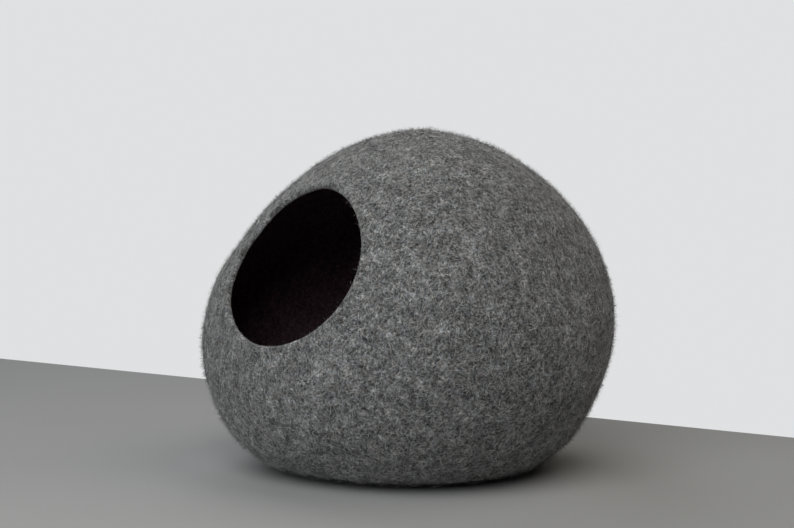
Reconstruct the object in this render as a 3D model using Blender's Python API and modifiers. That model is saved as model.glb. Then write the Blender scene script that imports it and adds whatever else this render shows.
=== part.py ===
"""Felt cat cave: one seamless wet-felted wool shell with a round mouth.

Units are metres and +Z is up.  The mouth faces -Y and leans upwards, the
flat foot lies on Z = 0, and the origin is the middle of the box around the
cave, on its foot.  The wool is one piece: there is no seam, binding or
lining to model, so the cave is one solid.
"""
import math

import bmesh
import bpy
import numpy as np
from mathutils import Vector

# ---- overall form -----------------------------------------------------
HALF_WIDTH = 0.2354      # half of the width along X, at the widest level
HALF_DEPTH = 0.2458      # half of the depth along Y, before the mouth flattens it
CROWN_Z = 0.3800         # height of the plain dome
WIDEST_Z = 0.1633        # height of the widest level, and of the centre of all rays
UPPER_POWER = 1.97       # 2 is an ellipse; less is more pointed, more is squarer
LOWER_POWER = 1.81
LOWER_REACH = 1.4975     # the lower half would reach this many WIDEST_Z down without a foot
FOOT_POWER = 10.0        # sharpness of the turn from the side wall to the foot
FOOT_SINK = 0.0030       # how far the wool is pressed flat where it rests

# ---- mouth ------------------------------------------------------------
MOUTH_TILT = 24.96       # degrees that the mouth looks up from level
FACE_REACH = 0.2061      # distance from the centre of the rays to the flattened face
FACE_POWER = 5.83        # sharpness of the turn from the dome to that face
MOUTH_HALF_WIDTH = 0.0988
MOUTH_HALF_HEIGHT = 0.0932
MOUTH_SIDE = -0.0021     # the mouth's centre on the face, sideways and upwards
MOUTH_RISE = -0.0076
MOUTH_SKEW = (           # waves round the edge of a hand-cut mouth
    # (waves per turn, sine share, cosine share)
    (2, -0.0307, 0.0000),
    (3, -0.0119, 0.0138),
)

# ---- wall -------------------------------------------------------------
WALL = 0.0080            # thickness of the felt
LIP_ROUND = 0.0032       # rounding of the mouth's two edges

# ---- soft unevenness of hand-made felt --------------------------------
SWELLS = (
    # (name, degrees from -Y towards +X, degrees above level, spread in degrees, share of the radius)
    ("chin", -60.0, -20.0, 32.0, 0.0133),
    ("brow", -30.0, 62.0, 30.0, -0.0214),
    ("back_low", 120.0, -35.0, 35.0, -0.0132),
    ("back_mid", 130.0, 20.0, 40.0, 0.0048),
    ("front_low", 20.0, -45.0, 35.0, -0.0518),
    ("crown", 90.0, 75.0, 35.0, 0.0458),
    ("left_shoulder", -60.0, 30.0, 28.0, -0.0369),
)

# ---- mesh -------------------------------------------------------------
SEGMENTS = 60            # round the mouth
RINGS = 30               # from the mouth to the point opposite
LIP_SEGMENTS = 3

FELT_COLOUR = (0.150, 0.147, 0.144, 1.0)


def direction(turn, lift):
    """Unit vector at `turn` degrees from -Y towards +X and `lift` degrees up."""
    t, e = math.radians(turn), math.radians(lift)
    return np.array([math.sin(t) * math.cos(e), -math.cos(t) * math.cos(e), math.sin(e)])


TILT = math.radians(MOUTH_TILT)
MOUTH_OUT = np.array([0.0, -math.cos(TILT), math.sin(TILT)])    # out of the mouth
MOUTH_RIGHT = np.array([1.0, 0.0, 0.0])
MOUTH_UP = np.array([0.0, math.sin(TILT), math.cos(TILT)])


def reach(d):
    """Distance from the centre of the rays to the outer felt along unit vector d."""
    dome = CROWN_Z - WIDEST_Z
    flat = math.hypot(d[0] / HALF_WIDTH, d[1] / HALF_DEPTH)
    if d[2] >= 0.0:
        power, tall = UPPER_POWER, dome
    else:
        power, tall = LOWER_POWER, WIDEST_Z * LOWER_REACH
    inverse = (flat ** power + abs(d[2] / tall) ** power) ** (1.0 / power)
    face = max(0.0, float(d @ MOUTH_OUT)) / FACE_REACH
    inverse = (inverse ** FACE_POWER + face ** FACE_POWER) ** (1.0 / FACE_POWER)
    radius = 1.0 / inverse
    for _name, turn, lift, spread, share in SWELLS:
        away = math.degrees(math.acos(max(-1.0, min(1.0, float(d @ direction(turn, lift))))))
        radius *= 1.0 + share * math.exp(-(away / spread) ** 2)
    foot = max(0.0, -d[2]) / (WIDEST_Z + FOOT_SINK)
    return ((1.0 / radius) ** FOOT_POWER + foot ** FOOT_POWER) ** (-1.0 / FOOT_POWER)


def mouth_angle(turn):
    """Angle between MOUTH_OUT and the ray to the mouth's edge at `turn` radians round it."""
    wave = 1.0
    for times, sine, cosine in MOUTH_SKEW:
        wave += sine * math.sin(times * turn) + cosine * math.cos(times * turn)
    across = (MOUTH_SIDE + MOUTH_HALF_WIDTH * wave * math.cos(turn)) * MOUTH_RIGHT
    upward = (MOUTH_RISE + MOUTH_HALF_HEIGHT * wave * math.sin(turn)) * MOUTH_UP
    out = FACE_REACH
    for _step in range(8):
        ray = across + upward + out * MOUTH_OUT
        ray /= np.linalg.norm(ray)
        out = float(ray @ MOUTH_OUT) * reach(ray)
    return ray


def felt_material():
    material = bpy.data.materials.new("felt")
    material.use_nodes = True
    shader = material.node_tree.nodes["Principled BSDF"]
    shader.inputs["Base Color"].default_value = FELT_COLOUR
    shader.inputs["Roughness"].default_value = 0.95
    shader.inputs["Metallic"].default_value = 0.0
    material.diffuse_color = FELT_COLOUR
    return material


def felt_shell(collection):
    """The cave: a ball of rays opened at the mouth, given the felt's thickness inwards."""
    mesh = bmesh.new()
    bmesh.ops.create_uvsphere(mesh, u_segments=SEGMENTS, v_segments=RINGS, radius=1.0)
    crown = max(mesh.verts, key=lambda v: v.co.z)
    bmesh.ops.delete(mesh, geom=[crown], context="VERTS")
    first = math.pi / RINGS
    for vertex in mesh.verts:
        polar = math.acos(max(-1.0, min(1.0, vertex.co.z)))
        turn = math.atan2(vertex.co.y, vertex.co.x)
        if polar > math.pi - 0.5 * first:
            ray = -MOUTH_OUT
        else:
            edge = mouth_angle(turn)
            side = edge - float(edge @ MOUTH_OUT) * MOUTH_OUT
            side /= np.linalg.norm(side)
            opening = math.acos(float(edge @ MOUTH_OUT))
            share = (polar - first) / (math.pi - first)
            angle = opening + share * (math.pi - opening)
            ray = math.cos(angle) * MOUTH_OUT + math.sin(angle) * side
        place = ray * reach(ray)
        vertex.co = Vector((place[0], place[1], max(0.0, place[2] + WIDEST_Z)))
    low = Vector([min(v.co[i] for v in mesh.verts) for i in range(3)])
    high = Vector([max(v.co[i] for v in mesh.verts) for i in range(3)])
    middle = Vector(((low.x + high.x) / 2.0, (low.y + high.y) / 2.0, 0.0))
    for vertex in mesh.verts:
        vertex.co -= middle
    bmesh.ops.recalc_face_normals(mesh, faces=mesh.faces)
    data = bpy.data.meshes.new("felt_shell")
    mesh.to_mesh(data)
    mesh.free()
    data.materials.append(felt_material())
    shell = bpy.data.objects.new("felt_shell", data)
    collection.objects.link(shell)

    wall = shell.modifiers.new("wall", "SOLIDIFY")
    wall.thickness = WALL
    wall.offset = -1.0
    wall.use_even_offset = True
    wall.use_rim = True
    lip = shell.modifiers.new("lip", "BEVEL")
    lip.width = LIP_ROUND
    lip.segments = LIP_SEGMENTS
    lip.limit_method = "ANGLE"
    lip.angle_limit = math.radians(55.0)
    data.shade_smooth()
    return shell


def main():
    for item in list(bpy.data.objects):
        bpy.data.objects.remove(item, do_unlink=True)
    collection = bpy.data.collections.new("felt_cat_cave")
    bpy.context.scene.collection.children.link(collection)
    felt_shell(collection)
    bpy.context.view_layer.update()


main()
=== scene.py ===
"""Felt cat cave, the looks: a soft uneven felt body, heathered wool, laid-in fibres and fuzz."""
import math
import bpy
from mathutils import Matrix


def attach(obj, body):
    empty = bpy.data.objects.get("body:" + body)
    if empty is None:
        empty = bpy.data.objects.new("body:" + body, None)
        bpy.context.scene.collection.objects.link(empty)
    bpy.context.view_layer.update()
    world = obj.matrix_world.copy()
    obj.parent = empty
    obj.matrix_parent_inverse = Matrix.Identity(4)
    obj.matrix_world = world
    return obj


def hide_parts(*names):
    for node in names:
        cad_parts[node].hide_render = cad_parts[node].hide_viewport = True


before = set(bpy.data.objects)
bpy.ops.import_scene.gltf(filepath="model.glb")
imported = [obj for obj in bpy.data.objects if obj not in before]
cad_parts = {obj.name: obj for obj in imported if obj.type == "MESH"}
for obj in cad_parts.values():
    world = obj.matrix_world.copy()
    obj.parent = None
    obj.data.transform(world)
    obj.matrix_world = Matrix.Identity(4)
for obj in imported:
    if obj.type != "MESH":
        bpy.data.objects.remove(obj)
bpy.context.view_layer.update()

import bpy
import numpy as np
from mathutils import Matrix, Vector

# ---------------------------------------------------------------- the cave's own form (metres)
HALF_WIDTH, HALF_DEPTH = 0.2354, 0.2458
CROWN_Z, WIDEST_Z = 0.3800, 0.1633
UPPER_POWER, LOWER_POWER, LOWER_REACH = 1.97, 1.81, 1.4975
FOOT_POWER, FOOT_SINK = 10.0, 0.0030
MOUTH_TILT, FACE_REACH, FACE_POWER = 24.96, 0.2061, 5.83
MOUTH_HALF_WIDTH, MOUTH_HALF_HEIGHT = 0.0988, 0.0932
MOUTH_SIDE, MOUTH_RISE = -0.0021, -0.0076
MOUTH_SKEW = ((2, -0.0307, 0.0000), (3, -0.0119, 0.0138))
WALL = 0.0080
SWELLS = (
    # degrees from -Y towards +X, degrees above level, spread in degrees, share of the radius
    (-60.0, -20.0, 32.0, 0.0133),
    (-30.0, 62.0, 30.0, -0.0214),
    (120.0, -35.0, 35.0, -0.0132),
    (130.0, 20.0, 40.0, 0.0048),
    (20.0, -45.0, 35.0, -0.0518),
    (90.0, 75.0, 35.0, 0.0458),
    (-60.0, 30.0, 28.0, -0.0369),
)
# the firm felt lies a little inside the outline that its fuzz reaches
INSET = 0.0013
# soft unevenness of hand felting: (size of the lumps, height, seed)
LUMPS = ((0.075, 0.0012, 11), (0.034, 0.0008, 12), (0.015, 0.00040, 13))
DENTS = (
    # degrees from -Y towards +X, degrees above level, spread in degrees, height in metres
    (-45.0, 14.0, 6.0, 0.0022),
    (121.0, 49.0, 10.0, -0.0010),
    (95.0, 14.0, 14.0, -0.0016),
)
TONES_AND_PAINTED_SHADE = (
    # the same three angles, then how much lighter or darker the felt is made: lighter and darker patches, three of them
    # painted shade and painted light
    (55.0, 33.0, 12.0, -0.07),
    (41.0, 9.0, 13.0, 0.07),
    # painted shade: the lower right made darker, where the light falls off
    (76.0, -32.0, 22.0, -0.24),
    # painted shade: the right side made darker
    (67.0, -1.0, 11.0, -0.10),
    # painted light: the left middle made lighter
    (20.0, -4.0, 16.0, 0.10),
    (54.0, -15.0, 8.0, 0.09),
    (54.0, 9.0, 8.0, 0.05),
    (88.0, 30.0, 12.0, -0.07),
)

COLUMNS, OUTER_ROWS, LIP_ROWS, INNER_EVERY = 256, 128, 10, 2

TILT = math.radians(MOUTH_TILT)
MOUTH_OUT = np.array([0.0, -math.cos(TILT), math.sin(TILT)])
MOUTH_RIGHT = np.array([1.0, 0.0, 0.0])
MOUTH_UP = np.array([0.0, math.sin(TILT), math.cos(TILT)])


def unit(v):
    return v / np.maximum(np.linalg.norm(v, axis=-1, keepdims=True), 1e-12)


def direction(turn, lift):
    t, e = math.radians(turn), math.radians(lift)
    return np.array([math.sin(t) * math.cos(e), -math.cos(t) * math.cos(e), math.sin(e)])


def reach(d):
    """Distance from the middle of the rays to the outer felt along each unit vector of d."""
    flat = np.hypot(d[..., 0] / HALF_WIDTH, d[..., 1] / HALF_DEPTH)
    up = d[..., 2] >= 0.0
    power = np.where(up, UPPER_POWER, LOWER_POWER)
    tall = np.where(up, CROWN_Z - WIDEST_Z, WIDEST_Z * LOWER_REACH)
    inverse = (flat ** power + np.abs(d[..., 2] / tall) ** power) ** (1.0 / power)
    face = np.maximum(0.0, d @ MOUTH_OUT) / FACE_REACH
    radius = (inverse ** FACE_POWER + face ** FACE_POWER) ** (-1.0 / FACE_POWER)
    for turn, lift, spread, share in SWELLS:
        away = np.degrees(np.arccos(np.clip(d @ direction(turn, lift), -1.0, 1.0)))
        radius = radius * (1.0 + share * np.exp(-((away / spread) ** 2)))
    foot = np.maximum(0.0, -d[..., 2]) / (WIDEST_Z + FOOT_SINK)
    return ((1.0 / radius) ** FOOT_POWER + foot ** FOOT_POWER) ** (-1.0 / FOOT_POWER)


def noise(points, size, seed):
    """Smooth noise between -1 and 1, the same on every run."""
    table = np.random.default_rng(seed).uniform(-1.0, 1.0, (31, 31, 31))
    q = points / size + 500.0
    cell = np.floor(q).astype(np.int64)
    f = q - cell
    f = f * f * f * (f * (f * 6.0 - 15.0) + 10.0)
    total = np.zeros(points.shape[:-1])
    for corner in np.ndindex(2, 2, 2):
        weight = np.prod(np.where(np.array(corner) == 1, f, 1.0 - f), axis=-1)
        at = (cell + np.array(corner)) % 31
        total += weight * table[at[..., 0], at[..., 1], at[..., 2]]
    return total


def smoothstep(x, low, high):
    t = np.clip((x - low) / (high - low), 0.0, 1.0)
    return t * t * (3.0 - 2.0 * t)


def outer_points(d):
    """Points of the outer felt along the rays d, with its unevenness, still about the middle of the rays."""
    plain = d * reach(d)[..., None]
    height = plain[..., 2] + WIDEST_Z
    lumps = sum(tall * noise(plain, size, seed) for size, tall, seed in LUMPS)
    for turn, lift, spread, tall in DENTS:
        away = np.degrees(np.arccos(np.clip(d @ direction(turn, lift), -1.0, 1.0)))
        lumps = lumps + tall * np.exp(-((away / spread) ** 2))
    lumps = (lumps - INSET) * smoothstep(height, 0.002, 0.030)
    return plain + d * lumps[..., None]


# ---------------------------------------------------------------- the felt body as one grid
turns = np.linspace(0.0, 2.0 * math.pi, COLUMNS, endpoint=False)


def mouth_rays():
    wave = 1.0 + sum(s * np.sin(k * turns) + c * np.cos(k * turns) for k, s, c in MOUTH_SKEW)
    across = (MOUTH_SIDE + MOUTH_HALF_WIDTH * wave * np.cos(turns))[:, None] * MOUTH_RIGHT
    upward = (MOUTH_RISE + MOUTH_HALF_HEIGHT * wave * np.sin(turns))[:, None] * MOUTH_UP
    out = np.full(COLUMNS, FACE_REACH)
    for _step in range(8):
        ray = unit(across + upward + out[:, None] * MOUTH_OUT)
        out = (ray @ MOUTH_OUT) * reach(ray)
    return ray


EDGE = mouth_rays()
SIDE = unit(EDGE - (EDGE @ MOUTH_OUT)[:, None] * MOUTH_OUT)
OPENING = np.arccos(np.clip(EDGE @ MOUTH_OUT, -1.0, 1.0))
LIP = (WALL - INSET) / 2.0
LIP_IN = 0.0026                                          # how far the rounded edge stands into the mouth


def rays_at(angle):
    """Rays for each column at this angle from the mouth's axis."""
    return np.cos(angle)[..., None] * MOUTH_OUT + np.sin(angle)[..., None] * SIDE


def dented(points, angle):
    """The felt draws in a little behind the lip, most at the mouth's lower left."""
    away = (angle - OPENING) * 0.19
    side = 0.30 + 0.70 * np.exp(-((np.angle(np.exp(1j * (turns - math.radians(205.0)))) / 0.85) ** 2))
    depth = -0.0026 * np.exp(-(((away - 0.0125) / 0.0055) ** 2)) * side
    depth = depth + 0.0006 * np.exp(-(((away - 0.0035) / 0.0035) ** 2))
    return points + unit(points) * depth[..., None]


start = OPENING + LIP_IN / 0.21
share = np.linspace(0.0, 1.0, OUTER_ROWS + 1)[1:]
rows = [dented(outer_points(rays_at(math.pi - s * (math.pi - start))), math.pi - s * (math.pi - start)) for s in share]
outer = np.stack(rows)                                   # row 0 is next to the far pole, the last is at the lip
low_pole = outer_points(-MOUTH_OUT[None, :])[0]

along = np.gradient(outer, axis=0)
around = (np.roll(outer, -1, 1) - np.roll(outer, 1, 1)) / 2.0
outer_normal = unit(np.cross(around, along))
if (outer_normal[60] * outer[60]).sum() < 0:
    outer_normal = -outer_normal

edge_normal = outer_normal[-1]
edge_in = unit(along[-1] - (along[-1] * edge_normal).sum(-1, keepdims=True) * edge_normal)
lip_centre = outer[-1] - edge_normal * LIP
lip_rows = []
for k in range(1, LIP_ROWS):
    bend = math.pi * k / LIP_ROWS
    lip_rows.append(lip_centre + edge_normal * (LIP * math.cos(bend)) + edge_in * (LIP_IN * math.sin(bend)))
lip_rows = np.stack(lip_rows)
inner = (outer - outer_normal * (2.0 * LIP))[::-1][::INNER_EVERY]
inner_pole = low_pole + MOUTH_OUT * WALL

grid = np.concatenate([outer, lip_rows, inner])          # rows from the outer pole, over the lip, to the inner pole
grid[..., 2] += WIDEST_Z
grid[..., 2] = np.maximum(grid[..., 2], 0.0)
low_pole = low_pole + np.array([0.0, 0.0, WIDEST_Z])
inner_pole = inner_pole + np.array([0.0, 0.0, WIDEST_Z])
FIRST_LIP, FIRST_INNER = len(outer), len(outer) + len(lip_rows)

# the plain form's box is centred on the origin, as the frame's is
plain = rays_at(np.linspace(0.4, math.pi, 181)[:, None] * np.ones(COLUMNS))
plain = plain * reach(plain)[..., None]
middle = np.array([
    (plain[..., 0].min() + plain[..., 0].max()) / 2.0,
    (plain[..., 1].min() + plain[..., 1].max()) / 2.0,
    0.0,
])
grid -= middle
low_pole -= middle
inner_pole -= middle

ROWS = len(grid)
grid_v = np.gradient(grid, axis=0)
grid_u = (np.roll(grid, -1, 1) - np.roll(grid, 1, 1)) / 2.0
grid_n = unit(np.cross(grid_u, grid_v))
if (grid_n[60] * (grid[60] - np.array([0, 0, WIDEST_Z]))).sum() < 0:
    grid_n = -grid_n
cell_area = np.linalg.norm(np.cross(grid_u, grid_v), axis=-1)


def new_object(name, vertices, faces):
    data = bpy.data.meshes.new(name)
    data.from_pydata(vertices, [], faces)
    data.update()
    data.shade_smooth()
    made = bpy.data.objects.new(name, data)
    bpy.context.scene.collection.objects.link(made)
    return made


def felt_body():
    count = ROWS * COLUMNS
    at = np.arange(count).reshape(ROWS, COLUMNS)
    nxt = np.roll(at, -1, 1)
    quads = np.stack([at[:-1], nxt[:-1], nxt[1:], at[1:]], -1).reshape(-1, 4)
    low, high = count, count + 1
    faces = [list(q) for q in quads.tolist()]
    faces += [[low, b, a] for a, b in zip(at[0].tolist(), nxt[0].tolist())]
    faces += [[high, a, b] for a, b in zip(at[-1].tolist(), nxt[-1].tolist())]
    vertices = np.concatenate([grid.reshape(-1, 3), low_pole[None], inner_pole[None]])
    body = new_object("felt_body", vertices.tolist(), faces)
    import bmesh
    mesh = bmesh.new()
    mesh.from_mesh(body.data)
    bmesh.ops.recalc_face_normals(mesh, faces=mesh.faces)
    mesh.to_mesh(body.data)
    mesh.free()
    # 0 on the grey outside, 1 on the dark inside, turning over on the lip's inner side
    inside = np.zeros(len(vertices))
    row = np.repeat(np.arange(ROWS), COLUMNS)
    inside[:count] = np.clip((row - FIRST_LIP) / float(LIP_ROWS - 1), 0.0, 1.0)
    inside[count + 1] = 1.0
    layer = body.data.attributes.new("inside", "FLOAT", "POINT")
    layer.data.foreach_set("value", inside.astype(np.float32))
    # the lighter and darker patches for the material, painted shade and painted light among them
    layer = body.data.attributes.new("tone_and_shade", "FLOAT", "POINT")
    layer.data.foreach_set("value", tone_and_shade_at(vertices).astype(np.float32))
    return body


# ---------------------------------------------------------------- fibres
def tone_and_shade_at(points):
    """How light or dark the felt is made at each point, 1 where it is plain: lighter and darker patches, with painted
    shade and painted light among them.
    """
    rays = unit(points + middle - np.array([0.0, 0.0, WIDEST_Z]))
    tone_and_shade = np.ones(points.shape[:-1])
    for turn, lift, spread, more in TONES_AND_PAINTED_SHADE:
        away = np.degrees(np.arccos(np.clip(rays @ direction(turn, lift), -1.0, 1.0)))
        tone_and_shade = tone_and_shade + more * np.exp(-((away / spread) ** 2))
    return tone_and_shade


def look_up(table, u, v):
    """Values of a grid table at fractional columns u and rows v."""
    v = np.clip(v, 0.0, ROWS - 1.001)
    u = np.mod(u, COLUMNS)
    iu, iv = np.floor(u).astype(int), np.floor(v).astype(int)
    fu, fv = (u - iu)[:, None], (v - iv)[:, None]
    ju = (iu + 1) % COLUMNS
    return (
        table[iv, iu] * (1 - fu) * (1 - fv) + table[iv, ju] * fu * (1 - fv)
        + table[iv + 1, iu] * (1 - fu) * fv + table[iv + 1, ju] * fu * fv
    )


def scatter(rng, count, first, last, weight=None, tufts=0.0):
    """Places spread by area over the grid rows first to last. tufts gathers them: above 0 in the pale tufts, below 0 between them."""
    area = cell_area[first:last].copy()
    if weight is not None:
        area = area * weight[first:last]
    total = np.cumsum(area.ravel())
    more = count * 4 if tufts else count
    pick = np.searchsorted(total, rng.uniform(0.0, total[-1], more))
    row, column = np.unravel_index(np.minimum(pick, area.size - 1), area.shape)
    u, v = column + rng.uniform(0.0, 1.0, more), row + first + rng.uniform(0.0, 1.0, more) - 0.5
    if tufts:
        place = look_up(grid, u, v)
        tuft = noise(place, 0.0034, 41) + 0.75 * noise(place, 0.0080, 42)
        likely = smoothstep(tuft * tufts, -0.10, 0.45)
        chosen = np.flatnonzero(rng.uniform(0.0, 1.0, more) < likely)[:count]
        u, v = u[chosen], v[chosen]
    return u, v


def laid_fibres(name, rng, count, first, last, long, wide, lift, level=0.12, curl=0.75, weight=None, tufts=0.0):
    """Short tapered wool fibres that lie in the surface: 3-sided, closed, with two bends each."""
    u, v = scatter(rng, count, first, last, weight, tufts)
    count = len(u)
    length = rng.uniform(*long, count)
    width = rng.uniform(*wide, count)
    raised = lift[0] + (lift[1] - lift[0]) * rng.uniform(0.0, 1.0, count) ** 2.2
    normal = unit(look_up(grid_n, u, v))
    # towards level, more so low on the side, as the wool was laid round the form
    flat = unit(np.cross(np.array([0.0, 0.0, 1.0]), normal) + 1e-6)
    other = np.cross(normal, flat)
    angle = rng.uniform(-math.pi / 2, math.pi / 2, count)
    place = look_up(grid, u, v)
    pull = level * (1.0 - smoothstep(place[:, 2], 0.05, 0.20)) + 0.12 * level
    angle = angle * (1.0 - pull)
    swirl = 0.6 * noise(place, 0.040, 31)
    angle = angle + swirl
    heading = np.cos(angle)[:, None] * flat + np.sin(angle)[:, None] * other
    bend = rng.normal(0.0, curl, count)
    path, up = [], []
    step = length / 3.0
    u, v = u.copy(), v.copy()
    for k in range(4):
        n = unit(look_up(grid_n, u, v))
        p = look_up(grid, u, v)
        ends = 1.0 if k in (1, 2) else 0.0
        path.append(p + n * (raised * ends - 0.00006 * (1 - ends))[:, None])
        up.append(n)
        if k == 3:
            break
        heading = unit(heading - (heading * n).sum(-1, keepdims=True) * n)
        side = np.cross(n, heading)
        heading = unit(heading * np.cos(bend)[:, None] + side * np.sin(bend)[:, None])
        gu, gv = look_up(grid_u, u, v), look_up(grid_v, u, v)
        a, b, c = (gu * gu).sum(-1), (gu * gv).sum(-1), (gv * gv).sum(-1)
        want = heading * step[:, None]
        x, y = (want * gu).sum(-1), (want * gv).sum(-1)
        det = np.maximum(a * c - b * b, 1e-12)
        u = u + np.clip((x * c - y * b) / det, -6, 6)
        v = np.clip(v + np.clip((y * a - x * b) / det, -6, 6), 0, ROWS - 1.001)
    path, up = np.stack(path, 1), np.stack(up, 1)
    return spindles(name, path, up, width)


def spindles(name, path, up, width, flatness=0.7):
    """Closed 3-sided meshes through the four points of each path, pointed at both ends."""
    clear = path[..., 2].min(axis=1) > 0.0010
    path, up, width = path[clear], up[clear], width[clear]
    count = len(path)
    vertices = np.empty((count, 8, 3))
    vertices[:, 0], vertices[:, 7] = path[:, 0], path[:, 3]
    for ring, k in enumerate((1, 2)):
        ahead = unit(path[:, k + 1] - path[:, k - 1])
        side = unit(np.cross(up[:, k], ahead))
        over = np.cross(ahead, side)
        for corner in range(3):
            turn = math.pi / 2 + corner * 2.0 * math.pi / 3.0
            vertices[:, 1 + 3 * ring + corner] = path[:, k] + (
                side * math.cos(turn) + over * (math.sin(turn) * flatness)
            ) * (width / 2.0)[:, None]
    pattern = []
    for c in range(3):
        d = (c + 1) % 3
        pattern += [(0, 1 + d, 1 + c), (1 + c, 1 + d, 4 + d), (1 + c, 4 + d, 4 + c), (7, 4 + c, 4 + d)]
    pattern = np.array(pattern)
    faces = (pattern[None] + 8 * np.arange(count)[:, None, None]).reshape(-1, 3)
    return new_object(name, vertices.reshape(-1, 3), faces)


def standing_fuzz(name, rng, count, first, last, long, wide, lean, weight=None, tufts=0.0):
    """Fine fibre ends that stand off the surface: closed 3-sided slivers, rooted in the felt, bent once, pointed."""
    u, v = scatter(rng, count, first, last, weight, tufts)
    count = len(u)
    n = unit(look_up(grid_n, u, v))
    p = look_up(grid, u, v)
    turn = rng.uniform(0.0, 2.0 * math.pi, count)
    flat = unit(np.cross(np.array([0.13, 0.31, 0.94]), n))
    tangent = np.cos(turn)[:, None] * flat + np.sin(turn)[:, None] * np.cross(n, flat)
    tip_turn = turn + rng.normal(0.0, 1.0, count)
    tangent2 = np.cos(tip_turn)[:, None] * flat + np.sin(tip_turn)[:, None] * np.cross(n, flat)
    length = (long[0] + (long[1] - long[0]) * rng.uniform(0.0, 1.0, count) ** 1.8)[:, None]
    tilt = rng.uniform(*lean, count)[:, None]
    width = rng.uniform(*wide, count)
    low = p - n * 0.0003
    mid = p + length * 0.5 * (n * np.cos(tilt) + tangent * np.sin(tilt))
    tilt2 = np.clip(tilt + rng.normal(0.25, 0.45, (count, 1)), 0.0, 1.7)
    tip = mid + length * 0.5 * (n * np.cos(tilt2) + tangent2 * np.sin(tilt2))
    clear = np.minimum(low[:, 2], np.minimum(mid[:, 2], tip[:, 2])) > 0.0010
    low, mid, tip, n, tangent, width = low[clear], mid[clear], tip[clear], n[clear], tangent[clear], width[clear]
    count = len(low)
    vertices = np.empty((count, 5, 3))
    side = unit(np.cross(n, tangent))
    over = unit(np.cross(unit(mid - low), side))
    vertices[:, 0], vertices[:, 4] = low, tip
    for corner in range(3):
        a = corner * 2.0 * math.pi / 3.0
        vertices[:, 1 + corner] = mid + (side * math.cos(a) + over * math.sin(a)) * (width * 0.5)[:, None]
    pattern = []
    for c in range(3):
        d = (c + 1) % 3
        pattern += [(0, 1 + d, 1 + c), (4, 1 + c, 1 + d)]
    pattern = np.array(pattern)
    faces = (pattern[None] + 5 * np.arange(count)[:, None, None]).reshape(-1, 3)
    return new_object(name, vertices.reshape(-1, 3), faces)


# ---------------------------------------------------------------- materials
class Nodes:
    """A small helper to write node trees."""

    def __init__(self, name):
        self.material = bpy.data.materials.new(name)
        self.material.use_nodes = True
        self.tree = self.material.node_tree
        self.shader = self.tree.nodes["Principled BSDF"]

    def add(self, kind, settings=None, **inputs):
        node = self.tree.nodes.new(kind)
        for key, value in (settings or {}).items():
            setattr(node, key, value)
        for key, value in inputs.items():
            self.put(node.inputs[int(key[1:])] if key[0] == "i" and key[1:].isdigit() else node.inputs[key.replace("_", " ")], value)
        return node

    def put(self, socket, value):
        if isinstance(value, bpy.types.NodeSocket):
            self.tree.links.new(value, socket)
        else:
            socket.default_value = value

    def maths(self, operation, a, b=0.0, clamp=False):
        node = self.add("ShaderNodeMath", {"operation": operation, "use_clamp": clamp}, i0=a, i1=b)
        return node.outputs[0]

    def vectors(self, operation, a, b=(0.0, 0.0, 0.0)):
        node = self.tree.nodes.new("ShaderNodeVectorMath")
        node.operation = operation
        self.put(node.inputs[0], a)
        if len(node.inputs) > 1 and operation not in ("NORMALIZE", "LENGTH"):
            self.put(node.inputs[3 if operation == "SCALE" else 1], b)
        return node.outputs["Value"] if operation in ("DOT_PRODUCT", "LENGTH", "DISTANCE") else node.outputs[0]

    def between(self, value, low, high, to_low=0.0, to_high=1.0, kind="SMOOTHSTEP"):
        node = self.add("ShaderNodeMapRange", {"interpolation_type": kind})
        for key, item in ((0, value), (1, low), (2, high), (3, to_low), (4, to_high)):
            self.put(node.inputs[key], item)
        return node.outputs[0]

    def mix(self, factor, a, b):
        node = self.add("ShaderNodeMix", {"data_type": "RGBA", "blend_type": "MIX"})
        self.put(node.inputs[0], factor)
        self.put(node.inputs[6], a)
        self.put(node.inputs[7], b)
        return node.outputs[2]

    def noise(self, where, scale, detail=2.0, rough=0.5, distort=0.0):
        node = self.add("ShaderNodeTexNoise", {"noise_dimensions": "3D"})
        self.put(node.inputs["Vector"], where)
        for key, value in (("Scale", scale), ("Detail", detail), ("Roughness", rough), ("Distortion", distort)):
            node.inputs[key].default_value = value
        return node

    def strands(self, where, normal, scale, width, keep):
        """One short straight fibre in each cell of a Voronoi pattern, lying in the surface. keep is the share of cells that have one."""
        cell = self.add("ShaderNodeTexVoronoi", {"voronoi_dimensions": "3D", "feature": "F1"})
        self.put(cell.inputs["Vector"], where)
        cell.inputs["Scale"].default_value = scale
        cell.inputs["Randomness"].default_value = 1.0
        chance = self.vectors("SUBTRACT", cell.outputs["Color"], (0.5, 0.5, 0.5))
        lie = self.vectors("NORMALIZE", self.vectors("CROSS_PRODUCT", normal, chance))
        across = self.vectors("CROSS_PRODUCT", normal, lie)
        off = self.vectors("SUBTRACT", where, cell.outputs["Position"])
        away = self.maths("ABSOLUTE", self.vectors("DOT_PRODUCT", off, across))
        line = self.between(away, 0.0, width, 1.0, 0.0)
        split = self.add("ShaderNodeSeparateColor")
        self.put(split.inputs[0], cell.outputs["Color"])
        has = self.between(split.outputs[2], keep, keep + 0.02, 1.0, 0.0, "LINEAR")
        return self.maths("MULTIPLY", line, has), split.outputs[0]


def grey(value, warm=0.0):
    return (value * (1.0 + warm), value, value * (1.0 - warm), 1.0)


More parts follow.
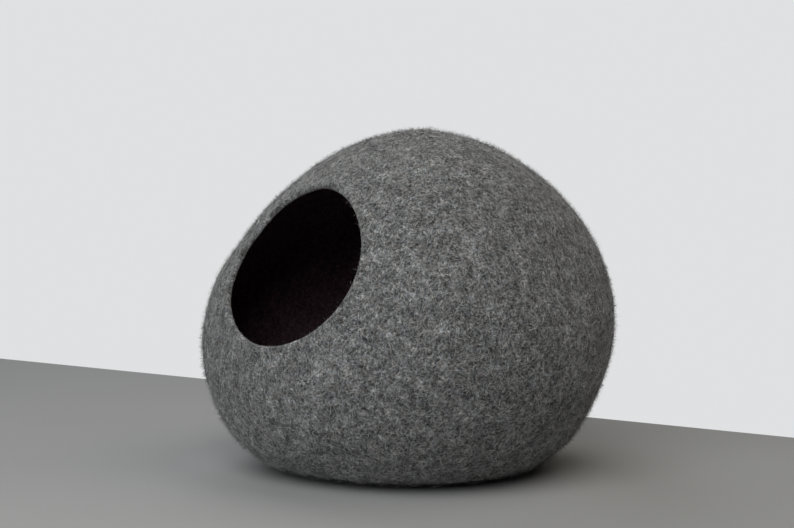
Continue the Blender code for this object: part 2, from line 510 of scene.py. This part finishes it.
def felt_material(name, base, tint, slot_roughness, sheen, contrast=1.0, edge_tint=None):
    """Heathered wool felt: soft blotches, crossing light and dark fibres, fine grain, and relief from the same."""
    n = Nodes(name)
    place = n.add("ShaderNodeTexCoord").outputs["Object"]
    normal = n.add("ShaderNodeNewGeometry").outputs["Normal"]
    wander = n.noise(place, 240.0, 1.0).outputs["Color"]
    wander = n.vectors("SCALE", n.vectors("SUBTRACT", wander, (0.5, 0.5, 0.5)), 0.0045)
    bent = n.vectors("ADD", place, wander)

    # the base grey scaled by the patches, painted shade and painted light included
    value = n.maths("MULTIPLY", n.add("ShaderNodeAttribute", {"attribute_name": "tone_and_shade"}).outputs["Fac"], base)
    relief = 0.0
    for scale, detail, spread, proud in (
        (24.0, 1.0, 0.10, 0.0), (72.0, 1.5, 0.32, 0.0), (165.0, 1.5, 0.52, 0.34),
        (380.0, 1.5, 0.62, 0.36), (950.0, 1.0, 0.60, 0.24),
    ):
        wool = n.noise(place, scale, detail, 0.5).outputs[0]
        factor = n.between(wool, 0.30, 0.70, 1.0 - spread * contrast, 1.0 + spread * contrast, "LINEAR")
        value = n.maths("MULTIPLY", value, factor)
        if scale == 380.0:
            ragged_noise = wool
        if proud:
            relief = n.maths("ADD", relief, n.maths("MULTIPLY", wool, proud))
    for scale, width, keep, shade, amount, shift, proud in (
        (140.0, 0.00075, 0.85, 0.22, 0.95, (0.013, 0.007, 0.021), -0.20),
        (175.0, 0.00060, 0.90, 2.80, 0.75, (0.113, 0.207, 0.051), 0.50),
        (250.0, 0.00055, 0.85, 0.24, 0.90, (0.313, 0.107, 0.251), -0.12),
        (290.0, 0.00048, 0.90, 2.70, 0.75, (0.213, 0.407, 0.151), 0.40),
    ):
        shifted = n.vectors("ADD", bent, shift)
        line, chance = n.strands(shifted, normal, scale, width, keep)
        strength = n.maths("MULTIPLY", line, n.between(chance, 0.0, 1.0, amount * 0.25, amount, "LINEAR"))
        towards = n.maths("SUBTRACT", base * shade, value)
        value = n.maths("ADD", value, n.maths("MULTIPLY", towards, strength))
        relief = n.maths("ADD", relief, n.maths("MULTIPLY", line, proud))

    # wool from sheep of slightly different greys: a faint drift between warm and cool
    drift = n.noise(place, 210.0, 1.5, 0.6).outputs[0]
    warm = n.between(drift, 0.25, 0.75, -0.06, 0.06, "LINEAR")
    mixed = n.add("ShaderNodeCombineXYZ")
    n.put(mixed.inputs[0], n.maths("MULTIPLY", value, n.maths("ADD", warm, tint[0])))
    n.put(mixed.inputs[1], n.maths("MULTIPLY", value, tint[1]))
    n.put(mixed.inputs[2], n.maths("MULTIPLY", value, n.maths("SUBTRACT", tint[2], warm)))
    colour = mixed.outputs[0]

    bump = n.add("ShaderNodeBump")
    bump.inputs["Strength"].default_value = 0.85
    bump.inputs["Distance"].default_value = 0.0011
    n.put(bump.inputs["Height"], relief)
    n.put(n.shader.inputs["Normal"], bump.outputs[0])
    if edge_tint is not None:
        # the dark inner wool works through at the lip's inner edge
        edge = n.add("ShaderNodeAttribute", {"attribute_name": "inside"}).outputs["Fac"]
        ragged = n.maths("ADD", edge, n.maths("MULTIPLY", n.maths("SUBTRACT", ragged_noise, 0.5), 0.40))
        colour = n.mix(n.between(ragged, 0.66, 0.80), colour, edge_tint)
    n.put(n.shader.inputs["Base Color"], colour)
    n.shader.inputs["Roughness"].default_value = slot_roughness
    n.shader.inputs["Specular IOR Level"].default_value = 0.15
    n.shader.inputs["Sheen Weight"].default_value = sheen
    n.shader.inputs["Sheen Roughness"].default_value = 0.45
    return n.material


def fibre_material(name, colour, sheen=0.15, relief=0.3):
    n = Nodes(name)
    n.shader.inputs["Base Color"].default_value = colour
    n.shader.inputs["Roughness"].default_value = 0.72
    n.shader.inputs["Specular IOR Level"].default_value = 0.25
    n.shader.inputs["Sheen Weight"].default_value = sheen
    n.shader.inputs["Sheen Roughness"].default_value = 0.5
    place = n.add("ShaderNodeTexCoord").outputs["Object"]
    scales = n.noise(place, 4200.0, 1.0, 0.5).outputs[0]
    bump = n.add("ShaderNodeBump")
    bump.inputs["Strength"].default_value = relief
    bump.inputs["Distance"].default_value = 0.00008
    n.put(bump.inputs["Height"], scales)
    n.put(n.shader.inputs["Normal"], bump.outputs[0])
    return n.material


WINE = (0.075, 0.045, 0.052, 1.0)
outer_felt = felt_material("heathered_grey_felt", 0.190, (0.995, 1.0, 1.0), 0.92, 0.17, contrast=1.12, edge_tint=WINE)
inner_felt = felt_material("dark_inner_felt", 0.085, (1.38, 0.84, 0.98), 0.95, 0.0, contrast=0.7)

body = felt_body()
body.data.materials.append(outer_felt)
body.data.materials.append(inner_felt)
middles = np.array([p.index for p in body.data.polygons])
material_index = np.zeros(len(body.data.polygons), np.int32)
material_index[FIRST_INNER * COLUMNS - 2 * COLUMNS:(ROWS - 1) * COLUMNS] = 1
material_index[(ROWS - 1) * COLUMNS + COLUMNS:] = 1
body.data.polygons.foreach_set("material_index", material_index)

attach(body, "root")
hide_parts("felt_shell")


def keep(piece, material):
    piece.data.materials.append(material)
    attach(piece, "root")
    return piece


rng = np.random.default_rng(7)
OUT = (2, FIRST_LIP + 2)
shades = {
    "dark": fibre_material("fibre_charcoal", grey(0.030)),
    "mid": fibre_material("fibre_grey", grey(0.270)),
    "silver": fibre_material("fibre_silver", grey(0.400)),
    "pale": fibre_material("fibre_pale", grey(0.780, 0.010)),
    "white": fibre_material("fibre_white", grey(0.860, 0.012)),
    "wine": fibre_material("fibre_dark_wine", (0.110, 0.064, 0.074, 1.0), 0.0),
}
above = (grid[..., 2] > 0.004).astype(float)
# light wool lies thinner, and dark wool thicker, where the felt is made darker, so the painted shade and painted light
# reach the fibres too
lean_light = above * np.clip(1.0 + 1.6 * (tone_and_shade_at(grid) - 1.0), 0.3, 2.0)
lean_dark = above * np.clip(1.0 - 1.6 * (tone_and_shade_at(grid) - 1.0), 0.3, 2.0)
for label, shade, count, long, wide, lift, tufts in (
    ("dark", "dark", 6500, (0.0035, 0.0080), (0.00040, 0.00085), (0.00002, 0.00030), -1.0),
    ("silver", "silver", 9000, (0.0035, 0.0100), (0.00026, 0.00050), (0.00008, 0.00160), 1.0),
    ("pale", "pale", 8500, (0.0035, 0.0110), (0.00018, 0.00036), (0.00010, 0.00240), 1.0),
    ("long", "white", 2600, (0.0090, 0.0230), (0.00018, 0.00032), (0.00040, 0.00380), 0.0),
):
    keep(laid_fibres("laid_" + label, rng, count, *OUT, long, wide, lift, weight=lean_dark if label == "dark" else lean_light, tufts=tufts), shades[shade])
for label, shade, count, long, wide, tufts in (
    ("pale", "silver", 29000, (0.0014, 0.0070), (0.00016, 0.00030), 1.0),
    ("dark", "dark", 29000, (0.0014, 0.0070), (0.00016, 0.00030), -1.0),
    ("mid", "mid", 24500, (0.0014, 0.0070), (0.00016, 0.00030), 0.0),
    ("stray", "pale", 4500, (0.0050, 0.0110), (0.00014, 0.00024), 0.0),
):
    keep(standing_fuzz("fuzz_" + label, rng, count, *OUT, long, wide, (0.1, 1.25), weight=lean_dark if label == "dark" else lean_light, tufts=tufts), shades[shade])
keep(laid_fibres("inner_fibres", rng, 3500, FIRST_INNER - 4, ROWS - 1, (0.005, 0.010), (0.0003, 0.0006), (0.00005, 0.0003)), shades["wine"])

# ---------------------------------------------------------------- stage, light and camera
def stage():
    floor_mat = Nodes("pale_floor")
    place = floor_mat.add("ShaderNodeTexCoord").outputs["Object"]
    cloud = floor_mat.noise(place, 3.0, 2.0).outputs[0]
    floor_mat.put(floor_mat.shader.inputs["Base Color"], floor_mat.mix(cloud, (0.43, 0.43, 0.43, 1.0), (0.46, 0.46, 0.46, 1.0)))
    floor_mat.shader.inputs["Roughness"].default_value = 0.85
    data = bpy.data.meshes.new("floor")
    data.from_pydata([(-2.2, -1.2, 0.0), (2.2, -1.2, 0.0), (2.2, 1.2, 0.0), (-2.2, 1.2, 0.0)], [], [(0, 1, 2, 3)])
    floor = bpy.data.objects.new("floor", data)
    # the top's far edge runs behind the cave, nearer on the right
    away = math.radians(VIEW_TURN) - math.atan2(0.592, 0.806)
    floor.rotation_euler = (0.0, 0.0, away)
    floor.location = Vector((-math.sin(away), math.cos(away), 0.0)) * (0.445 - 1.2) + Vector((0.0, 0.0, -0.0003))
    data.materials.append(floor_mat.material)
    bpy.context.scene.collection.objects.link(floor)

    world = bpy.data.worlds.new("studio")
    world.use_nodes = True
    tree = world.node_tree
    soft = tree.nodes["Background"]
    soft.inputs[0].default_value = (0.97, 0.99, 1.0, 1.0)
    soft.inputs[1].default_value = 0.03
    wall = tree.nodes.new("ShaderNodeBackground")
    wall.inputs[0].default_value = (0.742, 0.752, 0.758, 1.0)
    wall.inputs[1].default_value = 1.0
    seen = tree.nodes.new("ShaderNodeLightPath")
    both = tree.nodes.new("ShaderNodeMixShader")
    tree.links.new(seen.outputs["Is Camera Ray"], both.inputs[0])
    tree.links.new(soft.outputs[0], both.inputs[1])
    tree.links.new(wall.outputs[0], both.inputs[2])
    tree.links.new(both.outputs[0], tree.nodes["World Output"].inputs["Surface"])
    bpy.context.scene.world = world


def area_light(name, place, aim, size, watts, colour=(1.0, 1.0, 1.0)):
    lamp = bpy.data.lights.new(name, "AREA")
    lamp.shape = "DISK"
    lamp.size = size
    lamp.energy = watts
    lamp.color = colour
    item = bpy.data.objects.new(name, lamp)
    item.location = place
    item.rotation_euler = (Vector(aim) - Vector(place)).to_track_quat("-Z", "Y").to_euler()
    bpy.context.scene.collection.objects.link(item)
    return item


VIEW_TURN, VIEW_DISTANCE, VIEW_HEIGHT, VIEW_PITCH, VIEW_YAW = 43.60, 1.2712, 0.248, 0.682, 0.4185
stage()
turn = math.radians(VIEW_TURN)
yaw = math.radians(VIEW_TURN + VIEW_YAW)
pitch = math.radians(VIEW_PITCH)
right = Vector((math.cos(yaw), math.sin(yaw), 0.0))
ahead = Vector((-math.sin(yaw) * math.cos(pitch), math.cos(yaw) * math.cos(pitch), -math.sin(pitch)))
upward = right.cross(ahead)
eye = Vector((math.sin(turn) * VIEW_DISTANCE, -math.cos(turn) * VIEW_DISTANCE, VIEW_HEIGHT)) - Vector(middle)
camera_data = bpy.data.cameras.new("camera")
camera_data.sensor_fit = "HORIZONTAL"
camera_data.sensor_width = 36.0
camera_data.lens = 1100.0 / 794.0 * 36.0
camera_data.clip_start, camera_data.clip_end = 0.01, 50.0
camera = bpy.data.objects.new("camera", camera_data)
camera.matrix_world = Matrix((
    (right.x, upward.x, -ahead.x, eye.x),
    (right.y, upward.y, -ahead.y, eye.y),
    (right.z, upward.z, -ahead.z, eye.z),
    (0.0, 0.0, 0.0, 1.0),
))
bpy.context.scene.collection.objects.link(camera)
bpy.context.scene.camera = camera

centre = Vector((0.0, 0.0, 0.2))
left = -right
back_to_eye = Vector((-ahead.x, -ahead.y, 0.0)).normalized()
for name, aside, above_it, toward, watts, colour in (
    # metres to the right, up and towards the camera, scaled to the same distance
    ("front", -0.28, 0.57, 0.77, 30.0, (0.985, 1.0, 1.0)),
    ("top_right", 0.50, 0.85, 0.15, 10.5, (1.0, 0.93, 0.80)),
    ("left", -0.80, 0.40, 0.45, 3.5, (0.90, 0.96, 1.0)),
    ("behind", -0.32, 0.60, -0.62, 13.0, (0.95, 0.98, 1.0)),
):
    from_there = (right * aside + Vector((0, 0, 1)) * above_it + back_to_eye * toward).normalized()
    area_light(name, centre + from_there * 2.2, centre, 2.0, watts, colour)
bpy.context.scene.view_settings.view_transform = "Standard"
